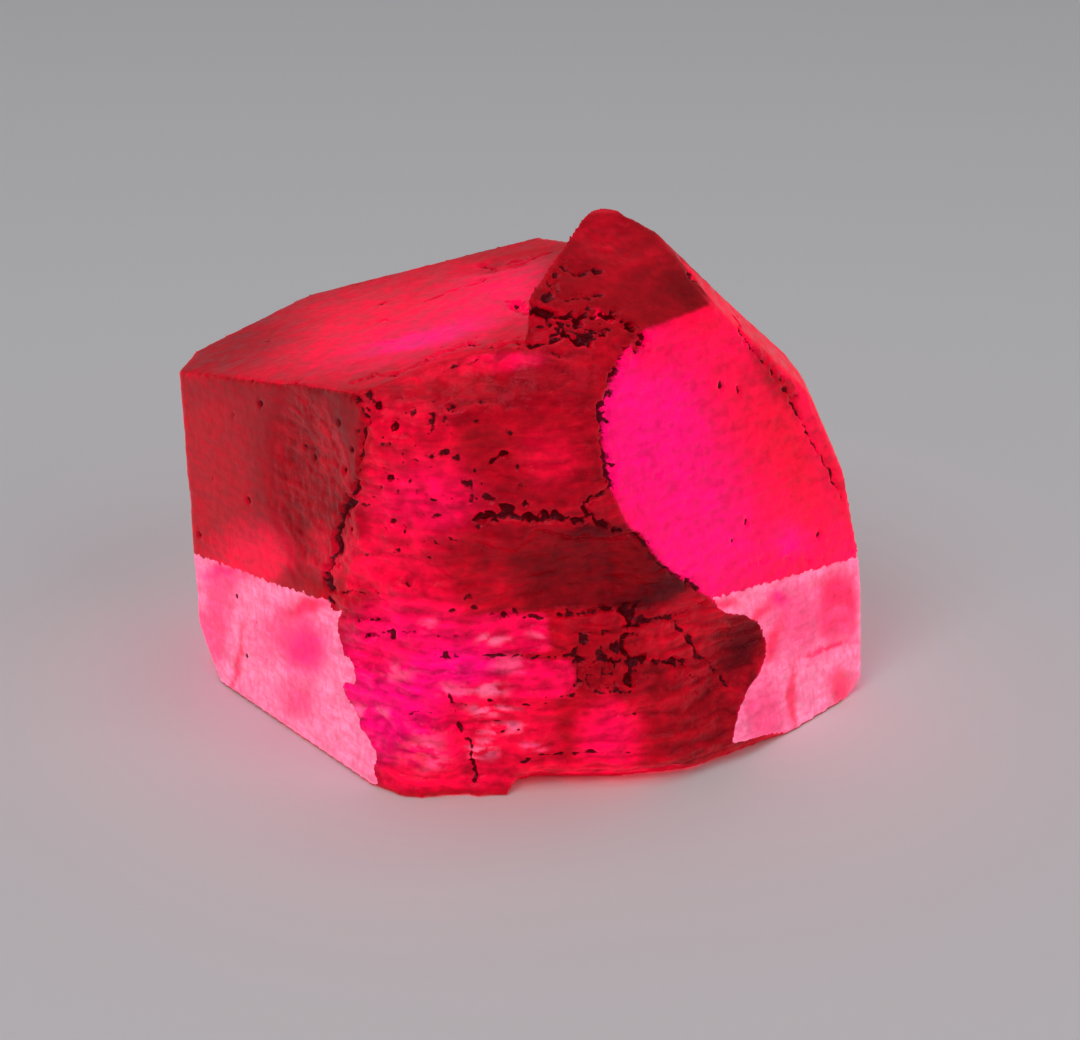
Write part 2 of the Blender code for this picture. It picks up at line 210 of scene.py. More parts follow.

# Colours of the light inside the crystal, as they show in the photo
# These are painted light: the crystal glows with them, as emission
TONES = {
    "magenta": (255, 0, 124),
    "pink red": (253, 0, 84),
    "bright red": (248, 2, 64),
    "red": (222, 2, 50),
    "crimson": (164, 1, 26),
    "deep red": (132, 1, 16),
    "dark red": (94, 1, 8),
    "blackish red": (50, 1, 4),
    "pale pink": (255, 140, 184),
    "light pink": (250, 108, 156),
    "rose": (252, 80, 136),
    "coral": (250, 50, 90),
}
# Painted light: the tone of the glow on each growth face
FACE_TONES = {
    "right": "pink red",
    "right low": "pink red",
    "right middle": "red",
    "right high": "red",
    "right corner": "pink red",
    "right heel": "rose",
    "top": "crimson",
    "top right": "crimson",
    "peak": "deep red",
    "peak back": "crimson",
    "peak side": "crimson",
    "peak tip": "crimson",
    "left": "crimson",
    "left corner": "red",
    "left heel": "rose",
    "back left": "crimson",
    "back": "red",
    "back right": "bright red",
}
BROKEN_TONE = "crimson"
FLAKED = ("light pink", "rose", "coral")  # tones that show through the broken front only in flakes
BLOTCH = 6.0  # size in mm of lighter and darker blotches on the hidden sides

# Painted light: the pale band stands for the base's light showing up through the crystal
# Pale band above the lit base: height in mm of its upper edge at the front, and how fast that
# edge sinks towards the back
LIT_BAND_TOP = 7.45
LIT_BAND_SLOPE = 0.18
UPPER_FACES = ("top", "top right", "peak", "peak back", "peak side", "peak tip")  # without the band

# Painted light and shade: these patches are lighter and darker tones of the glow
# Patches of another tone on each part of the surface: tone, middle, half width and half height
# in pixels, turn in degrees, softness
PARTS = {
    "top": ("top", "top right"),
    "peak": ("peak", "peak side", "peak tip"),
    "left": ("left", "left corner", "left heel"),
    "right": ("right", "right low", "right middle", "right high", "right corner", "right heel"),
}
PATCHES_SEEN = {
    "top": (
        ("bright red", 400, 325, 150, 45, 14, 0.8),
        ("pink red", 430, 330, 100, 22, 15, 0.9),
        ("pink red", 505, 292, 60, 26, 12, 0.9),
        ("deep red", 235, 348, 75, 24, 20, 0.9),
        ("crimson", 520, 247, 60, 12, 5, 0.8),
        ("deep red", 558, 292, 22, 34, 0, 0.8),
        ("dark red", 560, 300, 14, 22, 0, 0.8),
        ("crimson", 560, 250, 60, 10, 0, 0.8),
        ("magenta", 425, 338, 60, 8, 14, 0.9),
    ),
    "peak": (
        ("dark red", 690, 290, 26, 26, 40, 0.9),
        ("crimson", 600, 235, 30, 26, 0, 0.9),
        ("crimson", 640, 262, 60, 10, 30, 0.9),
        ("deep red", 640, 315, 70, 12, 0, 0.9),
    ),
    "left": (
        ("deep red", 240, 385, 70, 16, 8, 0.9),
        ("deep red", 290, 420, 60, 60, 0, 0.9),
        ("dark red", 316, 470, 42, 120, 0, 0.7),
        ("deep red", 305, 485, 54, 104, 0, 0.10),
        ("dark red", 322, 440, 30, 100, 0, 0.8),
        ("crimson", 205, 470, 25, 80, 0, 0.8),
        ("bright red", 255, 565, 45, 40, 40, 0.8),
        ("deep red", 300, 575, 26, 14, 30, 0.8),
    ),
    "right": (
        ("magenta", 665, 460, 70, 140, 20, 0.9),
        ("magenta", 640, 410, 50, 75, 0, 0.8),
        ("magenta", 700, 545, 55, 45, 0, 0.9),
        ("bright red", 770, 430, 50, 110, 30, 0.9),
        ("red", 790, 440, 25, 80, 28, 0.9),
        ("crimson", 775, 380, 12, 45, 35, 0.8),
        ("bright red", 700, 320, 45, 20, 10, 0.8),
        ("pink red", 655, 350, 40, 24, 0, 0.9),
        ("magenta", 790, 540, 20, 16, 0, 0.9),
        ("red", 833, 470, 8, 70, 20, 0.9),
    ),
    "front": (
        ("deep red", 306, 480, 34, 112, 0, 0.4),
        ("red", 400, 445, 60, 70, 0, 0.8),
        ("pink red", 425, 500, 50, 38, 0, 0.9),
        ("bright red", 380, 560, 60, 40, 0, 0.9),
        ("deep red", 480, 440, 22, 30, 20, 0.9),
        ("crimson", 550, 430, 60, 75, 0, 0.9),
        ("deep red", 520, 385, 90, 16, 6, 0.9),
        ("deep red", 590, 380, 24, 30, 0, 0.8),
        ("pink red", 500, 362, 42, 9, 6, 0.7),
        ("red", 455, 372, 60, 12, 10, 0.8),
        ("crimson", 430, 388, 80, 12, 5, 0.8),
        ("deep red", 560, 470, 50, 30, 0, 0.9),
        ("red", 550, 460, 30, 26, 0, 0.9),
        ("deep red", 540, 545, 95, 28, 3, 0.8),
        ("dark red", 560, 556, 60, 14, 3, 0.9),
        ("dark red", 620, 570, 80, 36, 12, 0.7),
        ("blackish red", 670, 590, 40, 14, 25, 0.8),
        ("blackish red", 590, 532, 40, 10, 5, 0.8),
        ("dark red", 592, 584, 78, 27, 0, 0.3),
        ("blackish red", 655, 590, 50, 12, 22, 0.8),
        ("bright red", 385, 605, 60, 36, 0, 0.9),
        ("crimson", 352, 602, 26, 18, 0, 0.9),
        ("bright red", 430, 630, 48, 34, 0, 0.9),
        ("pink red", 508, 634, 41, 20, 0, 0.15),
        ("magenta", 400, 690, 90, 76, 0, 0.7),
        ("pink red", 395, 655, 60, 20, 0, 0.9),
        ("bright red", 495, 722, 72, 46, 0, 0.7),
        ("pink red", 540, 679, 34, 19, 0, 0.15),
        ("magenta", 450, 665, 60, 14, 0, 0.9),
        ("deep red", 610, 660, 36, 34, 0, 0.3),
        ("crimson", 570, 718, 14, 26, 0, 0.7),
        ("bright red", 612, 738, 34, 40, 0, 0.6),
        ("pink red", 608, 738, 26, 30, 0, 0.8),
        ("deep red", 698, 735, 52, 40, 0, 0.5),
        ("deep red", 715, 715, 26, 36, 0, 0.8),
        ("deep red", 685, 679, 44, 18, 0, 0.25),
        ("crimson", 702, 645, 26, 44, -38, 0.25),
        ("dark red", 738, 642, 30, 44, -38, 0.7),
        ("blackish red", 748, 640, 16, 42, -34, 0.8),
        ("blackish red", 757, 692, 9, 30, 12, 0.8),
        ("red", 560, 768, 60, 9, 0, 0.7),
        ("rose", 338, 722, 12, 26, 0, 0.8),
        ("coral", 425, 758, 26, 22, 0, 0.7),
        ("bright red", 435, 778, 80, 14, 0, 0.6),
        ("bright red", 650, 775, 90, 8, 0, 0.7),
        ("rose", 427, 623, 10, 7, 0, 0.7),
        ("light pink", 494, 642, 18, 5, 0, 0.7),
        ("light pink", 532, 633, 10, 4, 0, 0.7),
        ("rose", 509, 667, 18, 8, 0, 0.7),
        ("rose", 397, 671, 18, 8, 0, 0.7),
        ("rose", 456, 689, 20, 9, 0, 0.7),
        ("light pink", 488, 689, 20, 8, 0, 0.6),
        ("light pink", 491, 711, 27, 6, 0, 0.6),
        ("light pink", 500, 728, 26, 5, 0, 0.6),
        ("light pink", 484, 750, 15, 13, 0, 0.6),
        ("rose", 352, 709, 18, 9, 0, 0.7),
        ("light pink", 374, 712, 15, 8, 0, 0.7),
        ("rose", 362, 748, 20, 13, 25, 0.7),
        ("rose", 427, 752, 20, 18, 0, 0.7),
        ("coral", 415, 755, 16, 14, 0, 0.7),
        ("rose", 532, 745, 14, 5, 0, 0.7),
        ("deep red", 338, 500, 14, 70, 0, 0.9),
        ("crimson", 590, 360, 40, 30, 0, 0.9),
    ),
}

# The same inside the pale band, where it lies over the band's painted light
LIT_BAND_PATCHES_SEEN = (
    ("rose", 214, 625, 17, 75, -10, 0.5),
    ("coral", 238, 662, 3, 44, -12, 0.7),
    ("rose", 240, 578, 50, 7, 14, 0.8),
    ("magenta", 222, 571, 26, 6, 14, 0.9),
    ("rose", 285, 636, 32, 28, 0, 0.9),
    ("magenta", 308, 648, 22, 30, 0, 0.7),
    ("pink red", 306, 608, 24, 10, 16, 0.6),
    ("rose", 300, 700, 18, 20, 0, 0.8),
    ("pink red", 836, 606, 24, 40, 0, 0.5),
    ("rose", 838, 612, 12, 8, 0, 0.6),
    ("rose", 842, 629, 12, 6, 0, 0.6),
    ("rose", 795, 620, 32, 42, 0, 0.9),
    ("magenta", 780, 600, 12, 10, 0, 0.7),
    ("coral", 757, 616, 7, 26, -38, 0.7),
    ("coral", 775, 644, 8, 26, -20, 0.7),
    ("rose", 765, 715, 26, 40, 0, 0.7),
    ("coral", 793, 698, 5, 34, 2, 0.5),
    ("coral", 815, 730, 60, 8, 28, 0.7),
    ("coral", 842, 690, 16, 22, 20, 0.8),
    ("pink red", 826, 649, 34, 3, 20, 0.6),
    ("coral", 726, 604, 18, 5, 0, 0.7),
)


def direction(azimuth, lean):
    """Unit vector at an azimuth from -Y towards +X and a lean above the horizon, in degrees."""
    turn, climb = radians(azimuth), radians(lean)
    return np.array((sin(turn) * cos(climb), -cos(turn) * cos(climb), sin(climb)))


def step(value, start, end):
    """Smooth step from 0 at start to 1 at end."""
    t = np.clip((value - start) / (end - start), 0, 1)
    return t * t * (3 - 2 * t)


def grain(points, size, octaves=4):
    """Fractal roughness at each point, about -1 to 1; points and size in mm."""
    return np.array([noise.fractal(Vector(point), 1.0, 2.0, octaves) for point in points / size])


# Camera


def add_camera():
    look = Vector((0, cos(radians(CAMERA_RISE)), -sin(radians(CAMERA_RISE))))
    data = bpy.data.cameras.new("camera")
    data.lens = LENS_MM
    data.sensor_width = SENSOR_MM
    data.sensor_fit = "HORIZONTAL"
    data.clip_start = 0.001
    camera = bpy.data.objects.new("camera", data)
    camera.location = CAMERA_TARGET - look * CAMERA_DISTANCE
    camera.rotation_euler = (radians(90 - CAMERA_RISE), 0, 0)
    bpy.context.scene.collection.objects.link(camera)
    bpy.context.scene.camera = camera
    return camera


def photo_ray(camera, pixel):
    """Start and direction of the line of sight through a pixel of the photo."""
    width, height = PHOTO_SIZE
    per_pixel = SENSOR_MM / width / LENS_MM
    rise = radians(CAMERA_RISE)
    ahead, up = Vector((0, cos(rise), -sin(rise))), Vector((0, sin(rise), cos(rise)))
    across = (pixel[0] - width / 2) * per_pixel
    high = (height / 2 - pixel[1]) * per_pixel
    return camera.location, (ahead + Vector((across, 0, 0)) + up * high).normalized()


def seen_at(camera, points):
    """Where each point shows in the photo, in its pixels."""
    rise = radians(CAMERA_RISE)
    away = points - np.array(camera.location) / MM
    ahead = away @ np.array((0, cos(rise), -sin(rise)))
    up = away @ np.array((0, sin(rise), cos(rise)))
    scale = LENS_MM / SENSOR_MM * PHOTO_SIZE[0] / ahead
    return np.column_stack([PHOTO_SIZE[0] / 2 + away[:, 0] * scale, PHOTO_SIZE[1] / 2 - up * scale])


def seen_patch(places, x, y, half_width, half_height, turn=0, softness=0.8):
    """1 inside an ellipse of the photo, or a block where the edge is hard, and 0 past its edge."""
    across, down = (places - (x, y)).T
    angle = radians(turn)
    along = (across * cos(angle) - down * sin(angle)) / half_width
    aside = (across * sin(angle) + down * cos(angle)) / half_height
    power = 2 if softness > 0.3 else 8
    reach = (np.abs(along) ** power + np.abs(aside) ** power) ** (1 / power)
    return 1 - step(reach, 1 - softness, 1.02 + softness * 0.6)


# Cracks and pits, as points on the crystal


def around_ray(azimuth, height):
    """Start and direction of a level line that meets the crystal's side from outside."""
    outward = direction(azimuth, 0)
    start = np.array((MIDDLE[0], MIDDLE[1], height)) + 40 * outward
    return Vector(start) * MM, Vector(-outward)


def walk(line, pace):
    """Points along a line of corners, a pace apart."""
    line = np.array(line, float)
    for start, end in zip(line, line[1:]):
        count = max(1, round(np.linalg.norm(end - start) / pace))
        for part in range(count):
            yield start + (end - start) * part / count


def spurs(cracks, chance):
    """Short cracks that leave the deeper ones to either side."""
    for half_width, deep, line in cracks:
        if deep < 0.2:
            continue
        for place in walk(line, 11.0):
            turn, length = chance.uniform(0, 2 * pi), chance.uniform(4, 13)
            middle = place + length * 0.6 * np.array((cos(turn), sin(turn)))
            end = middle + length * 0.5 * np.array((1, chance.uniform(-0.4, 0.4)))
            yield half_width * chance.uniform(0.25, 0.5), deep * 0.5, (place, middle, end)


def trace_cracks(camera, solid):
    """Points in mm, half widths in mm and depths in mm along all cracks."""
    spots, widths, depths = [], [], []
    chance = np.random.default_rng(3)
    for half_width, deep, line in (*CRACKS_SEEN, *spurs(CRACKS_SEEN, chance)):
        for place in walk(line, 2.0):
            place = place + 2.2 * np.array(noise.noise_vector(Vector((*place / 8.0, 0)))[:2])
            hit = solid.ray_cast(*photo_ray(camera, place))[0]
            if hit is not None:
                swell = 1.0 + 0.9 * noise.noise(Vector((*place / 9.0, 5.0)))
                spots.append(hit / MM)
                widths.append(half_width / PIXELS_PER_MM * swell)
                depths.append(deep * swell)
    for half_width, deep, line in CRACKS_BEHIND:
        for place in walk(line, 0.3):
            sway = noise.noise_vector(Vector((*place / 3.0, 9.0)))
            hit = solid.ray_cast(*around_ray(place[0] + 1.2 * sway[0], place[1] + 0.35 * sway[1]))[0]
            if hit is not None:
                swell = 1.0 + 0.5 * noise.noise(Vector((*place / 2.0, 5.0)))
                spots.append(hit / MM)
                widths.append(half_width * swell)
                depths.append(deep * swell)
    return spots, np.array(widths), np.array(depths)


def trace_pits(camera, solid):
    """Middles and radii in mm of all pits."""
    chance = np.random.default_rng(7)
    left, right, top, bottom = PITTED
    rays = [(photo_ray(camera, (x, y)), radius / PIXELS_PER_MM) for x, y, radius in PITS_SEEN]
    for _ in range(SMALL_PITS):
        place = chance.uniform(left, right), chance.uniform(top, bottom)
        rays.append((photo_ray(camera, place), chance.uniform(1.0, 2.6) / PIXELS_PER_MM))
    for _ in range(PITS_BEHIND):
        place = chance.uniform(90, 290), chance.uniform(1.0, 16.0)
        rays.append((around_ray(*place), chance.uniform(0.05, 0.2)))
    hits = [(solid.ray_cast(*ray)[0], radius) for ray, radius in rays]
    hits = [(hit / MM, radius) for hit, radius in hits if hit is not None]
    return [middle for middle, _ in hits], np.array([radius for _, radius in hits])


def point_tree(points):
    tree = KDTree(len(points))
    for number, point in enumerate(points):
        tree.insert(point, number)
    tree.balance()
    return tree


def nearest(points, tree):
    """Distance from each point to the nearest point of the tree, and which one it is."""
    found = [tree.find(point) for point in points]
    return np.array([gap for _, _, gap in found]), np.array([number for _, number, _ in found])


# Skin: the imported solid, with its surface divided finely enough to carry the small relief


def read_points(mesh):
    """Points in mm and unit normals."""
    count = len(mesh.vertices)
    points = np.empty(count * 3)
    normals = np.empty(count * 3)
    mesh.vertices.foreach_get("co", points)
    mesh.vertices.foreach_get("normal", normals)
    return points.reshape(-1, 3) / MM, normals.reshape(-1, 3)


def on_face(points, normals, name, near=0.16):
    """1 on the named growth face, falling to 0 away from it."""
    azimuth, lean, reach = FACES[name]
    axis = direction(azimuth, lean)
    gap = np.abs((points - MIDDLE) @ axis - reach)
    return (1 - step(gap, near * 0.5, near)) * step(normals @ axis, 0.75, 0.88)


def face_masks(points, normals):
    return {name: on_face(points, normals, name) for name in FACES}


def fine_skin(node):
    mesh = node.data.copy()
    mesh.name = "ruby_skin"
    skin = bpy.data.objects.new("ruby_skin", mesh)
    bpy.context.scene.collection.objects.link(skin)
    bm = bmesh.new()
    bm.from_mesh(mesh)
    bmesh.ops.remove_doubles(bm, verts=bm.verts[:], dist=1e-7)
    bm.to_mesh(mesh)
    bm.free()
    remesh = skin.modifiers.new("fine", "REMESH")
    remesh.mode = "VOXEL"
    remesh.voxel_size = SKIN_VOXEL
    smooth = skin.modifiers.new("soft", "SMOOTH")
    smooth.factor = 0.5
    smooth.iterations = 5
    apply_modifiers(skin)
    return skin


def apply_modifiers(skin):
    graph = bpy.context.evaluated_depsgraph_get()
    skin.data = bpy.data.meshes.new_from_object(skin.evaluated_get(graph))
    skin.modifiers.clear()


def thin_out(skin):
    """Merge small triangles, the flattest first, down to the number wanted."""
    triangles = sum(len(face.vertices) - 2 for face in skin.data.polygons)
    if triangles > SKIN_FACES:
        skin.modifiers.new("thin", "DECIMATE").ratio = SKIN_FACES / triangles
        apply_modifiers(skin)


def sharp_edge_points(node):
    """Points along the edges between two growth faces, in mm."""
    bm = bmesh.new()
    bm.from_mesh(node.data)
    bmesh.ops.remove_doubles(bm, verts=bm.verts[:], dist=1e-7)
    spots = []
    for edge in bm.edges:
        if edge.calc_face_angle(0) < radians(SHARP_EDGE):
            continue
        middles = np.array([face.calc_center_median() / MM for face in edge.link_faces])
        normals = np.array([face.normal for face in edge.link_faces])
        if np.clip(sum(face_masks(middles, normals).values()), 0, 1).min() > 0.5:
            start, end = (vert.co / MM for vert in edge.verts)
            count = max(1, round((end - start).length / 0.15))
            spots += [start.lerp(end, part / count) for part in range(count + 1)]
    bm.free()
    return spots


def in_view(camera, solid, points, normals):
    """1 for points that the photo shows, 0 for the hidden sides."""
    shown = np.zeros(len(points))
    eye = camera.location
    facing = np.einsum("ij,ij->i", np.array(eye) / MM - points, normals) > 0
    for number in np.flatnonzero(facing):
        start = Vector(points[number] + 0.3 * normals[number]) * MM
        shown[number] = solid.ray_cast(start, (eye - start).normalized())[0] is None
    return shown


# Relief: fracture grain, layers, chips along the edges, cracks and pits


def ledges(points, spacing, size):
    """Steps of uneven height going up, -0.5 to 0.5, with their sharp side below."""
    height = points[:, 2] / spacing + 0.55 * grain(points, size, 3) + 0.05 * points[:, 0]
    part = height - np.floor(height)
    return part - 0.5 - step(part, 0.86, 1.0)


def near_sites(points, spots, widths, raggedness, size):
    """Field that is 1 on the nearest site, 0.5 at its half width and 0 beyond, and the site."""
    sway = np.array([noise.noise_vector(Vector(point)) for point in points / size])
    gaps, which = nearest(points + raggedness * sway, point_tree(spots))
    return np.clip(1 - gaps / (2 * widths[which]), 0, 1), which


def past_right_border(places):
    """1 on the right growth face's side of its border in the photo, 0 on the broken side."""
    border_x, border_y = np.array(RIGHT_BORDER, float).T
    return step(places[:, 0] - np.interp(places[:, 1], border_y, border_x), -3, 2)


def surface_relief(points, places, shown, flat, broken):
    """Height in mm of grain and layers on the broken part, and of faint marks on the flat faces."""
    pitted = seen_patch(places, *ROUGHEST_PATCH) * shown
    smooth = seen_patch(places, *SMOOTHER_PATCH) * shown
    layered = step(places[:, 1], *LAYERED_ROWS) * shown
    coarse = grain(points, 1.3)
    fine = grain(points, 0.42, 3)
    layers = 0.10 * ledges(points, 0.75, 2.2) + 0.05 * ledges(points, 0.33, 1.1)
    relief = broken * (1 - 0.6 * smooth) * (0.06 * coarse + (0.03 + 0.05 * pitted) * fine)
    relief += broken * (0.5 + 0.7 * layered) * layers
    relief += flat * (0.016 * grain(points, 2.2) + 0.014 * ledges(points, 0.6, 4.0) + 0.010 * fine)
    return relief


def carve(skin, camera, solid, cracks, pits, edge_spots):
    """Cut the small relief into the skin. Returns fields over its points, by name."""
    points, normals = read_points(skin.data)
    masks = face_masks(points, normals)
    places = seen_at(camera, points)
    shown = in_view(camera, solid, points, normals)
    masks["right"] = masks["right"] * np.maximum(past_right_border(places), 1 - shown)
    flat = np.clip(sum(masks.values()), 0, 1)
    above = step(points[:, 2], 0.05, CLEAR_OF_BASE)
    broken = (1 - flat) * above
    relief = surface_relief(points, places, shown, flat, broken)
    edge = 1 - step(nearest(points, point_tree(edge_spots))[0], *EDGE_WEAR_AND_LIGHT)
    relief -= edge * flat * (0.02 + 0.06 * step(grain(points, 1.1, 3), 0.0, 0.5))
    crack, which = near_sites(points, cracks[0], cracks[1], 0.13, 0.40)
    depth = cracks[2][which]
    pit, hole = near_sites(points, pits[0], pits[1], 0.16, 0.24)
    groove = np.maximum(step(crack, 0.30, 0.75) * depth, step(pit, 0.35, 0.9) * pits[1][hole])
    moved = points + normals * ((relief - groove) * above)[:, None]
    moved[:, 2] = np.maximum(moved[:, 2], 0)
    skin.data.vertices.foreach_set("co", (moved * MM).ravel())
    skin.data.update()
    # Painted shade: cracks and pits darken the light colour
    masks["crack"] = np.maximum(crack * np.clip(depth / FAINT_CRACK, 0, 1), 0.9 * pit) * above
    # Painted shade in the hollows of the broken front, and painted light on its raised parts
    masks["hollow"] = np.clip(-relief / 0.12, -1, 1) * broken
    masks["edge"] = edge
    masks["broken"] = broken
    masks["shown"] = shown
    masks["places"] = places
    masks["points"] = points
    return masks


# Colours of the skin: painted light inside the crystal, and painted shade


def linear(tone):
    """Linear colour of a tone given as it shows on a screen."""
    shown = np.array(TONES[tone]) / 255
    return np.where(shown <= 0.04045, shown / 12.92, ((shown + 0.055) / 1.055) ** 2.4)


def mix(colours, tone, share):
    return colours * (1 - share[:, None]) + linear(tone) * share[:, None]


def lay_patches(colours, masks, patches, where, flaked=False):
    wander = np.column_stack([grain(masks["points"], 1.3, 4), grain(masks["points"] + 40, 1.3, 4)])
    places = masks["places"] + 6 * wander
    flakes = step(grain(masks["points"] * np.array((1, 1, 2.4)), 0.8, 4), -0.30, 0.22)
    for tone, *patch in patches:
        share = 0.9 * seen_patch(places, *patch) * masks["shown"] * where
        if flaked and tone in FLAKED:
            share = share * flakes
        colours = mix(colours, tone, share)
    return colours


def glow_colours(masks):
    """Colours of the painted light inside the crystal, above the pale band."""
    points, broken = masks["points"], masks["broken"]
    colours = np.tile(linear(BROKEN_TONE), (len(points), 1))
    for name, tone in FACE_TONES.items():
        colours = mix(colours, tone, masks[name])
    hidden = 1 - masks["shown"]
    blotch = grain(points, BLOTCH, 4)
    colours = mix(colours, "bright red", hidden * step(blotch, 0.0, 0.5) * 0.8)
    colours = mix(colours, "dark red", hidden * step(-blotch, 0.0, 0.5) * 0.8)
    for part, names in PARTS.items():
        where = np.clip(sum(masks[name] for name in names), 0, 1)
        colours = lay_patches(colours, masks, PATCHES_SEEN[part], where)
    colours = lay_patches(colours, masks, PATCHES_SEEN["front"], broken, flaked=True)
    # Painted shade in hollows and painted light on raised parts, with lighter and darker grain
    shade = 1 - 0.50 * masks["hollow"] + 0.36 * broken * grain(points * np.array((1, 1, 1.8)), 0.6, 4)
    colours = colours * np.clip(shade, 0.25, 1.5)[:, None]
    # Painted light: the flat faces are lighter along their sharp edges
    return colours * (1 + 0.25 * masks["edge"] * (1 - broken))[:, None]


def lit_band_colours(masks):
    """Colours of the painted light inside the pale band."""
    points = masks["points"]
    band = np.tile(linear("pale pink"), (len(points), 1))
    rosy = step(grain(points, BLOTCH, 4) + 0.3 * grain(points, 1.5), -0.3, 0.4)
    band = mix(band, "rose", (1 - masks["shown"]) * rosy * 0.9)
    return lay_patches(band, masks, LIT_BAND_PATCHES_SEEN, 1)


def lit_band_part(masks):
    """0.5 at the pale band's upper edge, more below it and less above, and 0 off the side faces."""
    points = masks["points"]
    height = points[:, 2] + LIT_BAND_SLOPE * (points[:, 1] + 9.5)
    sides = np.clip(sum(masks[name] for name in FACE_TONES if name not in UPPER_FACES), 0, 1)
    return np.clip(0.5 + (LIT_BAND_TOP - height) / 2, 0, 1) * step(sides, 0.3, 0.7)


def store(skin, name, values):
    kind = "FLOAT_COLOR" if values.ndim == 2 else "FLOAT"
    layer = skin.data.attributes.new(name, kind, "POINT")
    if values.ndim == 2:
        layer.data.foreach_set("color", np.column_stack([values, np.ones(len(values))]).ravel())
    else:
        layer.data.foreach_set("value", values)


# Ruby material

BAND_STREAK_COLOUR = (0.95, 0.045, 0.22, 1)
CRACK_SHADE_COLOUR = (0.010, 0.0, 0.001, 1)
BODY_SHARE = (0.35, 0.35, 0.35, 1)  # how much of the painted light's colour the body itself has, painted shade included


def node(tree, kind, **values):
    """New node with its inputs set by name."""
    new = tree.nodes.new("ShaderNode" + kind)
    for name, value in values.items():
        new.inputs[name.replace("_", " ")].default_value = value
    return new


def attribute(tree, name):
    new = tree.nodes.new("ShaderNodeAttribute")
    new.attribute_name = name
    return new


def noise_field(tree, size, stretch=(1, 1, 1), detail=2.0, roughness=0.6):
    """Noise over the crystal, with lumps of the given size in mm."""
    place = tree.nodes.new("ShaderNodeTexCoord")
    scale = node(tree, "Mapping", Scale=stretch)
    field = node(tree, "TexNoise", Scale=1 / (size * MM), Detail=detail, Roughness=roughness)
    tree.links.new(place.outputs["Object"], scale.inputs["Vector"])
    tree.links.new(scale.outputs["Vector"], field.inputs["Vector"])
    return field.outputs["Fac"]


def spread(tree, value, low, high, to_low, to_high):
    """Value from low to high spread over to_low to to_high, with soft ends."""
    new = node(tree, "MapRange", From_Min=low, From_Max=high, To_Min=to_low, To_Max=to_high)
    new.interpolation_type = "SMOOTHSTEP"
    tree.links.new(value, new.inputs["Value"])
    return new.outputs["Result"]


def maths(tree, operation, first, second):
    new = tree.nodes.new("ShaderNodeMath")
    new.operation = operation
    for socket, value in zip(new.inputs, (first, second)):
        if isinstance(value, (int, float)):
            socket.default_value = value
        else:
            tree.links.new(value, socket)
    return new.outputs["Value"]


def blend(tree, factor, first, second, kind="MIX"):
    """Mix of two colours, each a link or a fixed colour."""
    new = tree.nodes.new("ShaderNodeMix")
    new.data_type = "RGBA"
    new.blend_type = kind
    for socket, value in zip(("Factor", "A", "B"), (factor, first, second)):
        if isinstance(value, (int, float, tuple)):
            new.inputs[socket].default_value = value
        else:
            tree.links.new(value, new.inputs[socket])
    return new.outputs["Result"]


def light_colour(tree, specks, layers, ragged):
    """Colour of the painted light inside: clouded, streaked in the pale band, and all but black with
    painted shade in cracks and pits.
    """
    edge = maths(tree, "MULTIPLY", ragged, 0.25)
    edge = maths(tree, "ADD", attribute(tree, "pale").outputs["Fac"], edge)
    in_band = spread(tree, edge, 0.485, 0.515, 0.0, 1.0)
    glow = attribute(tree, "glow").outputs["Color"]
    band = attribute(tree, "band").outputs["Color"]
    colour = blend(tree, in_band, glow, band)
    by_speck = spread(tree, specks, 0.3, 0.7, 0.86, 1.10)
    by_layer = spread(tree, layers, 0.3, 0.7, 0.80, 1.14)
    colour = blend(tree, 1.0, colour, maths(tree, "MULTIPLY", by_speck, by_layer), "MULTIPLY")
    upright = spread(tree, noise_field(tree, 0.40, (1.6, 1.6, 0.7)), 0.36, 0.56, 0.0, 1.0)
    level = spread(tree, noise_field(tree, 0.45, (0.6, 0.6, 2.2)), 0.34, 0.50, 0.0, 1.0)
    clear = maths(tree, "MINIMUM", upright, level)
    # Red streaks across the painted light of the band
    streaks = maths(tree, "MULTIPLY", in_band, spread(tree, clear, 0.0, 1.0, 0.35, 0.0))
    colour = blend(tree, streaks, colour, BAND_STREAK_COLOUR)
    gap = maths(tree, "ADD", attribute(tree, "crack").outputs["Fac"], ragged)
    return blend(tree, spread(tree, gap, 0.38, 0.60, 0.0, 0.97), colour, CRACK_SHADE_COLOUR)


def small_bumps(tree, specks, layers):
    """Normals of the finest grain, strongest where the crystal is broken."""
    rough = spread(tree, attribute(tree, "broken").outputs["Fac"], 0.0, 1.0, 0.25, 1.0)
    height = maths(tree, "MULTIPLY", maths(tree, "ADD", specks, layers), rough)
    bump = node(tree, "Bump", Strength=0.55, Distance=0.08 * MM)
    tree.links.new(height, bump.inputs["Height"])
    return bump.outputs["Normal"]


